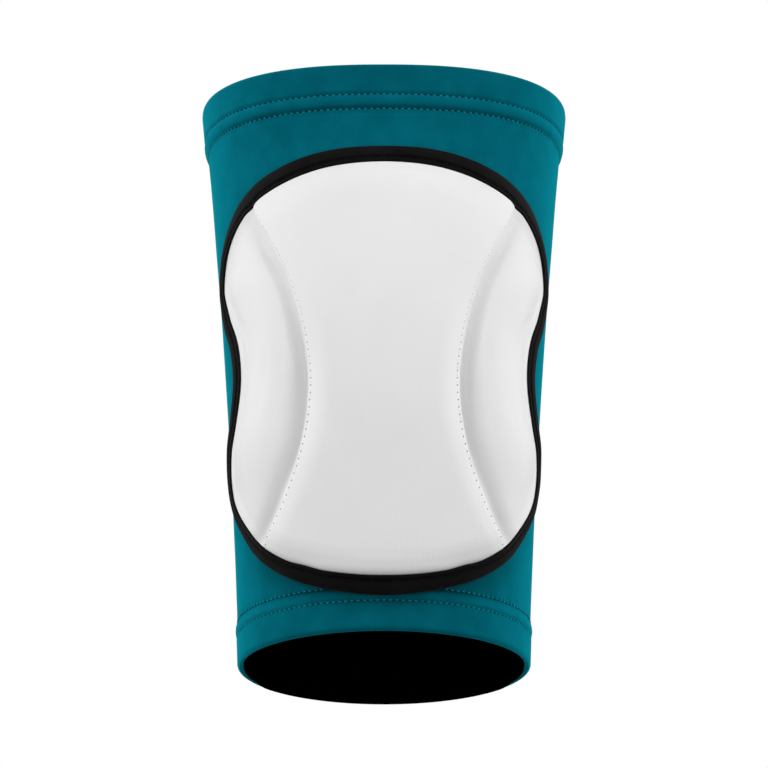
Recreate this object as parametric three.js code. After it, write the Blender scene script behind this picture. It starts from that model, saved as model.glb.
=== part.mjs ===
// A volleyball knee pad in the shape it takes when worn: a stretch sleeve with a folded hem at each
// end and a dark lining, and a padded front of three panels framed by binding tape.
// Lengths are in millimetres. The origin is the knee centre on the leg's axis, +Z runs up the thigh,
// the padded front faces -Y and X runs across.
import * as THREE from 'three';

// Sleeve, measured on the outside of its fabric
const sleeveAboveKnee = 119.9;
const sleeveBelowKnee = 91.4;
const thighHalfWidth = 66.8;
const kneeHalfWidth = 57.5;
const calfHalfWidth = 53.4;
const depthOverWidth = 1.03;
const thighFrontSquareness = 2.4; // exponent of the front of the section at the sleeve's top end
const roundSquareness = 2.0; // the same at its bottom end and all down its back: an ellipse
const sleeveWall = 1.6;
const liningWall = 1.0;
const liningInset = 0.1; // from each rim to the end of the lining
const layerGap = 0.3; // clearance between pieces that touch

// Hems: the sleeve's end turned over and held by two rows of stitching
const topHemHeight = 18.4;
const bottomHemHeight = 18.2;
const topHemProud = 0.9;
const bottomHemProud = 0.6;
const hemLap = 5; // how far a hem covers the end of the sleeve
const hemLapInset = 0.6; // how far the covered end is drawn in
const stitchRowNear = 11.3; // from the rim to the nearer row of stitching
const stitchRowSpacing = 5.3;
const stitchDip = 0.35;
const stitchDipWidth = 4;
const hemRidge = 0.2;
const seatRamp = 9; // length over which the padded front rises onto a hem
const seatLead = 1; // how far short of the hem that rise is complete

// Padded front
const padAboveKnee = 89;
const padBelowKnee = 78.6;
const padHalfWrap = 78; // from the middle to the widest point, round the surface
const centerThickness = 12;
const sideThickness = 10.3;
const endThinning = 2.6; // how much thinner the pad is towards its top and bottom
const centerShoulder = 10; // how far the centre panel takes to rise from the binding
const sideShoulder = 20; // the same on a side panel
const seamDepth = 5;
const seamDepthAtTop = 2.4;
const centerRoll = 5; // width of the rounded edge of the centre panel along a seam
const sideRoll = 9; // width of the slope of a side panel down to a seam
const sideTip = 0.03; // share of a side panel's length cut off at each of its two points

// Binding: tape folded over the pressed edge of the padded front
const bindingWidth = 6.6;
const bindingOuterHeight = 2.6; // above the sleeve, at its outer edge
const bindingWaistHeight = 2.5; // above the sleeve, at its inner edge by the waist of the outline
const bindingEndHeight = 5.3; // the same at the ends of the outline
const waistAboveKnee = 10;
const lowBindingReach = 24; // from the waist, up or down, to where the binding starts to lift
const highBindingReach = 58; // from the waist to where it has lifted fully
const bindingDome = 0.3; // how far its middle stands above a straight line across it
const bindingRounding = 0.7;
const padEdgeDrop = 0.6; // from the binding's inner edge down to the edge of the pad

// How finely round forms are divided; gather draws the divisions of a patch towards its edges
const turnSteps = 60;
const outlineSteps = 120;
const centerPatch = { rows: 19, rowGather: 0.8, columns: 17, columnGather: 0.6 };
const sidePatch = { rows: 30, rowGather: 0.3, columns: 9, columnGather: 0.4 };

// Outline of the padded front laid flat, from its top middle round one side to its bottom middle.
// up: share of the pad's reach above (+) or below (-) the knee; out: share of the half wrap
const topEdge = [
  { up: 1, out: 0 },
  { up: 0.975, out: 0.33 },
];
const sideEdge = [
  { up: 0.883, out: 0.635 },
  { up: 0.78, out: 0.798 },
  { up: 0.645, out: 0.918 },
  { up: 0.5, out: 0.982 },
  { up: 0.355, out: 0.935 },
  { up: 0.235, out: 0.862 },
  { up: 0.1, out: 0.85 },
  { up: -0.04, out: 0.91 },
  { up: -0.16, out: 0.985 },
  { up: -0.29, out: 0.992 },
  { up: -0.46, out: 0.915 },
  { up: -0.635, out: 0.775 },
  { up: -0.783, out: 0.62 },
];
const bottomEdge = [
  { up: -0.932, out: 0.345 },
  { up: -1, out: 0 },
];

// Seam between the centre panel and a side panel, between its two ends on the outline
const seamLine = [
  { up: 0.755, out: 0.57 },
  { up: 0.61, out: 0.482 },
  { up: 0.45, out: 0.4 },
  { up: 0.27, out: 0.345 },
  { up: 0.045, out: 0.318 },
  { up: -0.155, out: 0.33 },
  { up: -0.36, out: 0.382 },
  { up: -0.575, out: 0.477 },
  { up: -0.7, out: 0.56 },
];

const lerp = THREE.MathUtils.lerp;
const clamp = THREE.MathUtils.clamp;

function material(color, roughness) {
  return new THREE.MeshStandardMaterial({ color, roughness, metalness: 0 });
}

const sleeveFabric = material(0x0a7586, 0.75);
const liningFabric = material(0x070707, 0.9);
const padFabric = material(0xe6e6e4, 0.7);
const bindingTape = material(0x161415, 0.6);

// Half-width of the sleeve at a height: a parabola through its three named half-widths
function halfWidth(height) {
  const top = sleeveAboveKnee;
  const bottom = -sleeveBelowKnee;
  const atThigh = (thighHalfWidth * height * (height - bottom)) / (top * (top - bottom));
  const atCalf = (calfHalfWidth * height * (height - top)) / (bottom * (bottom - top));
  const atKnee = (kneeHalfWidth * (height - top) * (height - bottom)) / (top * bottom);
  return atThigh + atCalf + atKnee;
}

// Distance from the leg's axis to the outside of the sleeve; a turn of 0 faces the front
function sleeveRadius(turn, height) {
  const share = (height + sleeveBelowKnee) / (sleeveAboveKnee + sleeveBelowKnee);
  const frontPower = lerp(roundSquareness, thighFrontSquareness, clamp(share, 0, 1));
  const power = Math.cos(turn) > 0 ? frontPower : roundSquareness;
  const across = Math.abs(Math.sin(turn)) / halfWidth(height);
  const along = Math.abs(Math.cos(turn)) / (halfWidth(height) * depthOverWidth);
  return (across ** power + along ** power) ** (-1 / power);
}

// A point at a lift above the sleeve's outside
function onSleeve(turn, height, lift) {
  const radius = sleeveRadius(turn, height) + lift;
  return new THREE.Vector3(radius * Math.sin(turn), -radius * Math.cos(turn), height);
}

// A rise from 0 to 1 over a width, steep at first and then level
function roundedRise(distance, width) {
  return Math.sin((clamp(distance / width, 0, 1) * Math.PI) / 2);
}

// A rise from 0 to 1 over a width, level at both ends
function gentleRise(distance, width) {
  return THREE.MathUtils.smoothstep(distance / width, 0, 1);
}

// How far the padded front is carried outwards where it reaches over a hem
function seatLift(height) {
  const topHemEdge = sleeveAboveKnee - topHemHeight;
  const bottomHemEdge = bottomHemHeight - sleeveBelowKnee;
  const overTop = gentleRise(height - topHemEdge + seatRamp, seatRamp - seatLead);
  const overBottom = gentleRise(bottomHemEdge + seatRamp - height, seatRamp - seatLead);
  return overTop * (topHemProud + hemRidge) + overBottom * (bottomHemProud + hemRidge);
}

// A point given in the flat, out round the surface and up, at a lift above what it lies on
function onFront(place, lift) {
  const meanRadius = (halfWidth(place.y) * (1 + depthOverWidth)) / 2;
  return onSleeve(place.x / meanRadius, place.y, lift + seatLift(place.y));
}

// Triangles over a grid of points that closes on itself both ways, as a ring does
function ringGeometry(grid) {
  const points = grid.flat();
  const columns = grid[0].length;
  const index = [];
  for (let row = 0; row < grid.length; row += 1) {
    for (let column = 0; column < columns; column += 1) {
      const nextRow = (row + 1) % grid.length;
      const nextColumn = (column + 1) % columns;
      const a = row * columns + column;
      const b = row * columns + nextColumn;
      const c = nextRow * columns + nextColumn;
      const d = nextRow * columns + column;
      index.push(a, b, c, a, c, d);
    }
  }
  return indexedGeometry(points, index);
}

function indexedGeometry(points, index) {
  const geometry = new THREE.BufferGeometry().setFromPoints(points);
  geometry.setIndex(index);
  geometry.computeVertexNormals();
  return geometry;
}

// A wall right round the leg: a closed profile of lifts and heights, up its outside, down its inside
function wallRoundLeg(profile) {
  const grid = profile.map(({ lift, height }) =>
    Array.from({ length: turnSteps }, (_, step) =>
      onSleeve((2 * Math.PI * step) / turnSteps, height, lift)));
  return ringGeometry(grid);
}

// A slab over a patch of the flat: its top and its underside, closed round the rim
function slabOnFront(patch, topLift) {
  const top = patch.map((row) => row.map((place) => onFront(place, topLift(place))));
  const underside = patch.map((row) => row.map((place) => onFront(place, layerGap)));
  const rows = patch.length;
  const columns = patch[0].length;
  const points = [...top.flat(), ...underside.flat()];
  const under = rows * columns;
  const index = [];
  const quad = (a, b, c, d) => index.push(a, b, c, a, c, d);
  for (let row = 0; row < rows - 1; row += 1) {
    for (let column = 0; column < columns - 1; column += 1) {
      const a = row * columns + column;
      const d = a + columns;
      quad(a, a + 1, d + 1, d);
      quad(under + a, under + d, under + d + 1, under + a + 1);
    }
  }
  for (const [a, b] of rimEdges(rows, columns)) {
    quad(a, under + a, under + b, b);
  }
  return indexedGeometry(points, index);
}

// The edges round a grid, each as the two point numbers in the order that its faces run
function rimEdges(rows, columns) {
  const corner = (rows - 1) * columns;
  const edges = [];
  for (let column = 0; column < columns - 1; column += 1) {
    edges.push([column, column + 1]);
    edges.push([corner + column + 1, corner + column]);
  }
  for (let row = 0; row < rows - 1; row += 1) {
    edges.push([(row + 1) * columns, row * columns]);
    edges.push([(row + 1) * columns - 1, (row + 2) * columns - 1]);
  }
  return edges;
}

// A place in the flat from a row of shares
function fromShares({ up, out }) {
  const reach = up > 0 ? padAboveKnee : padBelowKnee;
  return new THREE.Vector3(out * padHalfWrap, up * reach, 0);
}

const mirrored = (place) => new THREE.Vector3(-place.x, place.y, 0);

// The whole outline as one closed curve, clockwise from its top middle as seen from the front
const halfOutline = [...topEdge, ...sideEdge, ...bottomEdge].map(fromShares);
const otherHalf = halfOutline.slice(1, -1).map(mirrored).reverse();
const outlineKnots = [...halfOutline, ...otherHalf];
const outline = new THREE.CatmullRomCurve3(outlineKnots, true, 'centripetal');

const seamKnots = [sideEdge[0], ...seamLine, sideEdge[sideEdge.length - 1]].map(fromShares);
const seam = new THREE.CatmullRomCurve3(seamKnots, false, 'centripetal');

// A point of the outline moved inwards; share runs from 0 to 1 clockwise from the top middle
function outlinePlace(share, inwards) {
  const around = ((share % 1) + 1) % 1;
  const tangent = outline.getTangent(around);
  const inside = new THREE.Vector3(tangent.y, -tangent.x, 0);
  return outline.getPoint(around).addScaledVector(inside, inwards);
}

// A point of the right seam moved sideways; share runs from 0 at its top to 1 at its bottom
function seamPlace(share, outwards) {
  const tangent = seam.getTangent(share);
  const outside = new THREE.Vector3(-tangent.y, tangent.x, 0);
  return seam.getPoint(share).addScaledVector(outside, outwards);
}

const outlineSamples = outline.getPoints(4 * outlineSteps);
const seamSamples = seam.getPoints(outlineSteps);

// The nearest point of a sampled curve to a place in the flat: how far off and at what share
function nearestOn(samples, place) {
  const piece = new THREE.Line3();
  const foot = new THREE.Vector3();
  const nearest = { distance: Infinity, share: 0 };
  for (let step = 0; step < samples.length - 1; step += 1) {
    piece.set(samples[step], samples[step + 1]);
    const along = piece.closestPointToPointParameter(place, true);
    const distance = piece.at(along, foot).distanceTo(place);
    if (distance < nearest.distance) {
      nearest.distance = distance;
      nearest.share = (step + along) / (samples.length - 1);
    }
  }
  return nearest;
}

// Where the seam crosses the edge of the panels: its share there, and the outline's
function seamCrossing(endShare) {
  let outside = endShare;
  let inside = 0.5;
  for (let halving = 0; halving < 30; halving += 1) {
    const middle = (outside + inside) / 2;
    const inwards = nearestOn(outlineSamples, seam.getPoint(middle)).distance;
    if (inwards < panelInset) outside = middle;
    else inside = middle;
  }
  return { onSeam: inside, onOutline: nearestOn(outlineSamples, seam.getPoint(inside)).share };
}

const panelInset = bindingWidth + layerGap;
const upperCrossing = seamCrossing(0);
const lowerCrossing = seamCrossing(1);

// Height of the binding's inner edge above the sleeve: low by the waist and high at the ends
function bindingInnerHeight(place) {
  const fromWaist = Math.abs(place.y - waistAboveKnee);
  const share = THREE.MathUtils.smoothstep(fromWaist, lowBindingReach, highBindingReach);
  return lerp(bindingWaistHeight, bindingEndHeight, share);
}

// Height of the top of the binding at a distance in from the outline
function bindingHeight(place, inwards) {
  const share = clamp(inwards / bindingWidth, 0, 1);
  const straight = lerp(bindingOuterHeight, bindingInnerHeight(place), share);
  return straight + 4 * bindingDome * share * (1 - share);
}

// Height of the bottom of a seam's groove, which is shallower towards the top
function grooveHeight(place, thickness) {
  const share = clamp(place.y / padAboveKnee, 0, 1);
  return thickness - lerp(seamDepth, seamDepthAtTop, share);
}

// Thickness away from the binding: most at the knee and less towards the top and the bottom
function crownThickness(place) {
  const reach = place.y > 0 ? padAboveKnee : padBelowKnee;
  return centerThickness - endThinning * (place.y / reach) ** 2;
}

function distanceToSeam(place) {
  return nearestOn(seamSamples, new THREE.Vector3(Math.abs(place.x), place.y, 0)).distance;
}

function centerFullHeight(place) {
  const bottom = grooveHeight(place, crownThickness(place));
  return lerp(bottom, crownThickness(place), roundedRise(distanceToSeam(place), centerRoll));
}

function sideFullHeight(place) {
  const bottom = grooveHeight(place, crownThickness(place));
  const crown = crownThickness(place) - (centerThickness - sideThickness);
  return lerp(bottom, crown, gentleRise(distanceToSeam(place), sideRoll));
}

// How far inside the edge of the panels a place lies
function distanceToBinding(place) {
  return Math.max(nearestOn(outlineSamples, place).distance - panelInset, 0);
}

// Height of a panel's top: from just under the binding's inner edge up to its full height
function centerTop(place) {
  const atEdge = bindingInnerHeight(place) - padEdgeDrop;
  const share = roundedRise(distanceToBinding(place), centerShoulder);
  return lerp(atEdge, centerFullHeight(place), share);
}

function sideTop(place) {
  const atEdge = bindingInnerHeight(place) - padEdgeDrop;
  return lerp(atEdge, sideFullHeight(place), gentleRise(distanceToBinding(place), sideShoulder));
}

// Shares from 0 to 1, drawn closer together at both ends by the gather
function spreadShares(count, gather) {
  return Array.from({ length: count + 1 }, (_, step) => {
    const even = step / count;
    return even - (gather * Math.sin(2 * Math.PI * even)) / (2 * Math.PI);
  });
}

// The centre panel: a patch between the two seams and the top and bottom of the outline
function padCenter() {
  const rows = spreadShares(centerPatch.rows, centerPatch.rowGather);
  const columns = spreadShares(centerPatch.columns, centerPatch.columnGather);
  const upper = upperCrossing.onOutline;
  const lower = lowerCrossing.onOutline;
  const right = (down) =>
    seamPlace(lerp(upperCrossing.onSeam, lowerCrossing.onSeam, down), -layerGap / 2);
  const left = (down) => mirrored(right(down));
  const top = (across) => outlinePlace(lerp(-upper, upper, across), panelInset);
  const bottom = (across) => outlinePlace(lerp(1 - lower, lower, across), panelInset);
  const patch = rows.map((down) => columns.map((across) =>
    blendedPatch(top, bottom, left, right, across, down)));
  return slabOnFront(patch.reverse(), centerTop);
}

// A place inside four edge curves, drawn evenly from all of them
function blendedPatch(top, bottom, left, right, across, down) {
  const weighted = new THREE.Vector3();
  weighted.addScaledVector(top(across), 1 - down).addScaledVector(bottom(across), down);
  weighted.addScaledVector(left(down), 1 - across).addScaledVector(right(down), across);
  weighted.addScaledVector(top(0), -(1 - across) * (1 - down));
  weighted.addScaledVector(top(1), -across * (1 - down));
  weighted.addScaledVector(bottom(0), -(1 - across) * down);
  weighted.addScaledVector(bottom(1), -across * down);
  return weighted;
}

// A side panel: a patch between a seam and the side of the outline, cut short of its two tips
function padSide(side) {
  const rows = spreadShares(sidePatch.rows, sidePatch.rowGather);
  const columns = spreadShares(sidePatch.columns, sidePatch.columnGather);
  const patch = rows.map((share) => {
    const down = lerp(sideTip, 1 - sideTip, share);
    const inner = seamPlace(lerp(upperCrossing.onSeam, lowerCrossing.onSeam, down), layerGap / 2);
    const aroundShare = lerp(upperCrossing.onOutline, lowerCrossing.onOutline, down);
    const outer = outlinePlace(aroundShare, panelInset);
    return columns.map((across) => inner.clone().lerp(outer, across));
  });
  const placed = side > 0 ? patch : patch.map((row) => row.map(mirrored).reverse());
  return slabOnFront(placed.reverse(), sideTop);
}

// The binding: one section carried round the outline
function binding() {
  const grid = Array.from({ length: outlineSteps }, (_, step) => {
    const share = step / outlineSteps;
    return bindingSection(outlinePlace(share, 0)).map(({ inwards, lift }) =>
      onFront(outlinePlace(share, inwards), lift));
  });
  return ringGeometry(grid);
}

// Section of the binding, over the top from its outer edge to its inner edge
function bindingSection(place) {
  const top = (inwards) => ({ inwards, lift: bindingHeight(place, inwards) });
  return [
    { inwards: 0, lift: layerGap },
    { inwards: 0, lift: bindingOuterHeight - bindingRounding },
    top(bindingRounding),
    top(bindingWidth / 2),
    top(bindingWidth - bindingRounding),
    { inwards: bindingWidth, lift: bindingInnerHeight(place) - bindingRounding },
    { inwards: bindingWidth, lift: layerGap },
  ];
}

// Profile of a hem on the way from its rim: in from the rim, then the two stitch rows with the
// ridge between them, then the lap over the sleeve and back up the inside
function hemProfile(hemHeight, proud) {
  const rowFar = stitchRowNear + stitchRowSpacing;
  const lapStart = hemHeight - hemLap - layerGap;
  const rimRounding = (proud + sleeveWall) / 2;
  return [
    { lift: -sleeveWall, inwards: rimRounding },
    { lift: -sleeveWall + rimRounding, inwards: 0 },
    { lift: proud, inwards: rimRounding },
    { lift: proud, inwards: stitchRowNear - stitchDipWidth / 2 },
    { lift: proud - stitchDip, inwards: stitchRowNear },
    { lift: proud + hemRidge, inwards: (stitchRowNear + rowFar) / 2 },
    { lift: proud - stitchDip, inwards: rowFar },
    { lift: proud - stitchDip, inwards: hemHeight },
    { lift: -hemLapInset + layerGap, inwards: hemHeight },
    { lift: -hemLapInset + layerGap, inwards: lapStart },
    { lift: -sleeveWall, inwards: lapStart },
  ];
}

function topHem() {
  const profile = hemProfile(topHemHeight, topHemProud).reverse();
  return wallRoundLeg(profile.map(({ lift, inwards }) => ({ lift, height: sleeveAboveKnee - inwards })));
}

function bottomHem() {
  const profile = hemProfile(bottomHemHeight, bottomHemProud);
  return wallRoundLeg(profile.map(({ lift, inwards }) => ({ lift, height: inwards - sleeveBelowKnee })));
}

// The sleeve between the hems, with both its ends drawn in beneath them
function sleeve() {
  const top = sleeveAboveKnee - topHemHeight;
  const bottom = bottomHemHeight - sleeveBelowKnee;
  const rows = [0, 0.25, 0.5, 0.75, 1];
  const outside = rows.map((share) => ({
    lift: 0,
    height: lerp(bottom + layerGap, top - layerGap, share),
  }));
  const inside = rows.map((share) => ({
    lift: -sleeveWall,
    height: lerp(top + hemLap, bottom - hemLap, share),
  }));
  return wallRoundLeg([
    { lift: -hemLapInset, height: bottom - hemLap },
    { lift: -hemLapInset, height: bottom + layerGap },
    ...outside,
    { lift: -hemLapInset, height: top - layerGap },
    { lift: -hemLapInset, height: top + hemLap },
    ...inside,
  ]);
}

// The lining inside the sleeve and both hems
function lining() {
  const top = sleeveAboveKnee - liningInset;
  const bottom = liningInset - sleeveBelowKnee;
  const rows = [0, 0.2, 0.4, 0.6, 0.8, 1];
  const outer = -sleeveWall - layerGap;
  return wallRoundLeg([
    ...rows.map((share) => ({ lift: outer, height: lerp(bottom, top, share) })),
    ...rows.map((share) => ({ lift: outer - liningWall, height: lerp(top, bottom, share) })),
  ]);
}

const kneePad = new THREE.Group();

function addPiece(name, geometry, fabric) {
  const piece = new THREE.Mesh(geometry, fabric);
  piece.name = name;
  kneePad.add(piece);
}

addPiece('sleeve', sleeve(), sleeveFabric);
addPiece('top_hem', topHem(), sleeveFabric);
addPiece('bottom_hem', bottomHem(), sleeveFabric);
addPiece('lining', lining(), liningFabric);
addPiece('pad_center', padCenter(), padFabric);
addPiece('pad_side_left', padSide(-1), padFabric);
addPiece('pad_side_right', padSide(1), padFabric);
addPiece('binding', binding(), bindingTape);

export default kneePad;
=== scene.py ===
# Looks of a volleyball knee pad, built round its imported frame. The tables are in millimetres and
# points become metres as they are placed. The knee centre is the origin, the padded front faces -Y.
import math
from functools import lru_cache

import bmesh
import bpy
from mathutils import Matrix, Vector, noise
from mathutils.bvhtree import BVHTree
from mathutils.kdtree import KDTree


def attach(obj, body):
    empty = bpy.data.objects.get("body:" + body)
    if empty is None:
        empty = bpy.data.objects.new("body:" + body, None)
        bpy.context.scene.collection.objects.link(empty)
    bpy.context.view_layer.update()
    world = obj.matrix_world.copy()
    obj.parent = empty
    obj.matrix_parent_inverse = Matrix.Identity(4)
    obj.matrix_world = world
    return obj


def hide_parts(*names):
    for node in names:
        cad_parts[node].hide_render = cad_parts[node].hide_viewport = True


metresPerMm = 0.001
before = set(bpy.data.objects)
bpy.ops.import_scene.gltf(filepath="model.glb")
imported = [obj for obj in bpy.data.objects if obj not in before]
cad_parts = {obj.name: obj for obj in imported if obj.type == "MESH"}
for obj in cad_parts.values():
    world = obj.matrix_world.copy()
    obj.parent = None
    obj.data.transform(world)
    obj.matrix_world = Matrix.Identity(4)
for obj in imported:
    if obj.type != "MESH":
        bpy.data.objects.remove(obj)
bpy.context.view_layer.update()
print("frame loaded:", len(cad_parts), "nodes")


# Camera, room and light

photoView = {"distance": 5.0, "elevation": -15.5, "aimHeight": 0.017, "lens": 632.8, "sensor": 36.0}


def makeCamera():
    data = bpy.data.cameras.new("photoCamera")
    data.lens = photoView["lens"]
    data.sensor_width = photoView["sensor"]
    data.clip_end = 50
    tilt = math.radians(photoView["elevation"])
    back = Vector((0, -math.cos(tilt), math.sin(tilt)))
    eye = bpy.data.objects.new("photoCamera", data)
    eye.location = Vector((0, 0, photoView["aimHeight"])) + photoView["distance"] * back
    eye.rotation_euler = (-back).to_track_quat("-Z", "Y").to_euler()
    bpy.context.scene.collection.objects.link(eye)
    bpy.context.scene.camera = eye


room = {
    "backdrop": 1.0,  # brightness of the white that the camera sees
    "ambient": 0.1,  # brightness of the same white as light
    "lampSize": 1.0,  # side of the square lamps, in metres
    "floorHeight": -1.45,  # metres, below the camera
    "floorRadius": 16.0,
    "floorColor": (0.7, 0.7, 0.7, 1),
    "floorRoughness": 0.9,
    "floorShown": (0.6, 0.6, 0.6, 1),  # how pale the camera sees it
}
softLights = {  # place in metres and power in watts; each is aimed at the knee
    "leftBox": ((-1.2, -0.35, 0.35), 6.8),
    "rightBox": ((1.2, -0.35, 0.35), 6.8),
    "frontLeftBox": ((-1.1, -1.1, 0.35), 4.7),
    "frontRightBox": ((1.1, -1.1, 0.35), 4.7),
    "backLeftBox": ((-1.1, 0.5, 0.35), 6.6),
    "backRightBox": ((1.1, 0.5, 0.35), 6.6),
    "topBox": ((0, -0.7, 1.3), 8.6),
    "lowBox": ((0, -1.6, -0.5), 7.5),
}


def setInputs(node, values):
    for name, value in values.items():
        node.inputs[name].default_value = value


def addNode(nodes, kind, values):
    node = nodes.new("ShaderNode" + kind)
    setInputs(node, values)
    return node


# the camera sees one shader, everything else is lit by the other
def splitByRay(tree, lit, seen, output):
    ray = tree.nodes.new("ShaderNodeLightPath")
    choose = tree.nodes.new("ShaderNodeMixShader")
    tree.links.new(ray.outputs["Is Camera Ray"], choose.inputs["Fac"])
    tree.links.new(lit.outputs[0], choose.inputs[1])
    tree.links.new(seen.outputs[0], choose.inputs[2])
    tree.links.new(choose.outputs[0], output.inputs["Surface"])


def makeRoom():
    world = bpy.data.worlds.new("whiteRoom")
    world.use_nodes = True
    bpy.context.scene.world = world
    nodes = world.node_tree.nodes
    nodes.clear()
    whites = []
    for strength in (room["ambient"], room["backdrop"]):
        whites.append(addNode(nodes, "Background", {"Color": (1, 1, 1, 1), "Strength": strength}))
    splitByRay(world.node_tree, *whites, nodes.new("ShaderNodeOutputWorld"))

    bm = bmesh.new()
    bmesh.ops.create_circle(bm, cap_ends=True, segments=96, radius=room["floorRadius"])
    bmesh.ops.translate(bm, verts=bm.verts, vec=(0, 0, room["floorHeight"]))
    floor = objectFrom(bm, "paleFloor")
    paint = bpy.data.materials.new("paleFloor")
    paint.use_nodes = True
    nodes = paint.node_tree.nodes
    matte = nodes["Principled BSDF"]
    setInputs(matte, {"Base Color": room["floorColor"], "Roughness": room["floorRoughness"]})
    shown = addNode(nodes, "Emission", {"Color": room["floorShown"]})
    splitByRay(paint.node_tree, matte, shown, nodes["Material Output"])
    floor.data.materials.append(paint)

    for name, (place, power) in softLights.items():
        data = bpy.data.lights.new(name, "AREA")
        data.size = room["lampSize"]
        data.energy = power
        lamp = bpy.data.objects.new(name, data)
        lamp.location = place
        lamp.rotation_euler = (-Vector(place)).to_track_quat("-Z", "Y").to_euler()
        bpy.context.scene.collection.objects.link(lamp)
    bpy.context.scene.view_settings.view_transform = "Standard"


def objectFrom(bm, name, smooth=False):
    for face in bm.faces:
        face.smooth = smooth
    mesh = bpy.data.meshes.new(name)
    bm.to_mesh(mesh)
    bm.free()
    piece = bpy.data.objects.new(name, mesh)
    bpy.context.scene.collection.objects.link(piece)
    return piece


# The surface that everything lies on

leg = {
    "aboveKnee": 119.9,
    "belowKnee": 91.4,
    "thighHalfWidth": 66.8,
    "kneeHalfWidth": 57.5,
    "calfHalfWidth": 53.4,
    "depthOverWidth": 1.03,
    "thighFrontSquareness": 2.4,
    "roundSquareness": 2.0,
    "unrolledRadius": 60.0,  # turns are written to the cloth map as if the leg were this wide
}
hems = {
    "topHeight": 18.4,
    "bottomHeight": 18.2,
    "topProud": 0.9,
    "bottomProud": 0.6,
    "ridge": 0.2,
    "rowNear": 11.3,
    "rowFar": 16.6,
    "seatRamp": 9.0,
    "seatLead": 1.0,
}
jerseyTop = leg["aboveKnee"] - hems["topHeight"]  # the jersey between the hems
jerseyBottom = hems["bottomHeight"] - leg["belowKnee"]


def mixed(a, b, share):
    return a + (b - a) * share


def clamped(value):
    return max(0.0, min(1.0, value))


def gentle(share):  # level at both ends
    s = clamped(share)
    return s * s * (3 - 2 * s)


def rounded(share):  # steep at first, then level
    return math.sin(clamped(share) * math.pi / 2)


def rolled(share):  # a quarter of an ellipse
    return math.sqrt(1 - (1 - clamped(share)) ** 2)


def bump(distance, width):  # 1 in the middle, 0 from the width on
    return gentle(1 - abs(distance) / width)


def bumpAt(distance, spot):
    middle, width = spot
    return bump(distance - middle, width)


def above(height, band):  # 0 up to the band's start, 1 from its run upwards
    start, run = band
    return gentle((height - start) / run)


def below(height, band):
    start, run = band
    return gentle((start - height) / run)


def halfWidth(height):  # a parabola through the widths of calf, knee and thigh
    top, bottom = leg["aboveKnee"], -leg["belowKnee"]
    atThigh = leg["thighHalfWidth"] * height * (height - bottom) / (top * (top - bottom))
    atCalf = leg["calfHalfWidth"] * height * (height - top) / (bottom * (bottom - top))
    atKnee = leg["kneeHalfWidth"] * (height - top) * (height - bottom) / (top * bottom)
    return atThigh + atCalf + atKnee


def onSleeve(turn, height, lift):
    share = clamped((height + leg["belowKnee"]) / (leg["aboveKnee"] + leg["belowKnee"]))
    power = leg["roundSquareness"]
    if math.cos(turn) > 0:
        power = mixed(power, leg["thighFrontSquareness"], share)
    wide = halfWidth(height)
    across = abs(math.sin(turn)) / wide
    along = abs(math.cos(turn)) / (wide * leg["depthOverWidth"])
    radius = (across**power + along**power) ** (-1 / power) + lift
    return Vector((radius * math.sin(turn), -radius * math.cos(turn), height))


def seatLift(height):  # the padded front climbs over both hems
    run = hems["seatRamp"] - hems["seatLead"]
    overTop = gentle((height - jerseyTop + hems["seatRamp"]) / run)
    overBottom = gentle((jerseyBottom + hems["seatRamp"] - height) / run)
    return overTop * (hems["topProud"] + hems["ridge"]) + overBottom * (hems["bottomProud"] + hems["ridge"])


def turnOf(place):
    return place.x / (halfWidth(place.y) * (1 + leg["depthOverWidth"]) / 2)


def onFront(place, lift):
    return onSleeve(turnOf(place), place.y, lift + seatLift(place.y))


# The outline of the padded front and its two seams, laid flat

front = {
    "aboveKnee": 89.0,
    "belowKnee": 78.6,
    "halfWrap": 78.0,
    # shares of the reach above or below the knee, and of the half wrap
    "topEdge": ((1, 0), (0.975, 0.33)),
    "sideEdge": (
        (0.883, 0.635), (0.78, 0.798), (0.645, 0.918), (0.5, 0.982), (0.355, 0.935),
        (0.235, 0.862), (0.1, 0.85), (-0.04, 0.91), (-0.16, 0.985), (-0.29, 0.992),
        (-0.46, 0.915), (-0.635, 0.775), (-0.783, 0.62),
    ),
    "bottomEdge": ((-0.932, 0.345), (-1, 0)),
    "seam": (
        (0.755, 0.57), (0.61, 0.482), (0.45, 0.4), (0.27, 0.342), (0.045, 0.306),
        (-0.155, 0.315), (-0.36, 0.358), (-0.575, 0.444), (-0.7, 0.532),
    ),
    "samples": 4000,
}


def fromShares(shares):
    up, out = shares
    return Vector((out * front["halfWrap"], up * (front["aboveKnee"] if up > 0 else front["belowKnee"])))


def mirroredPlace(place):
    return Vector((-place.x, place.y))


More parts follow.
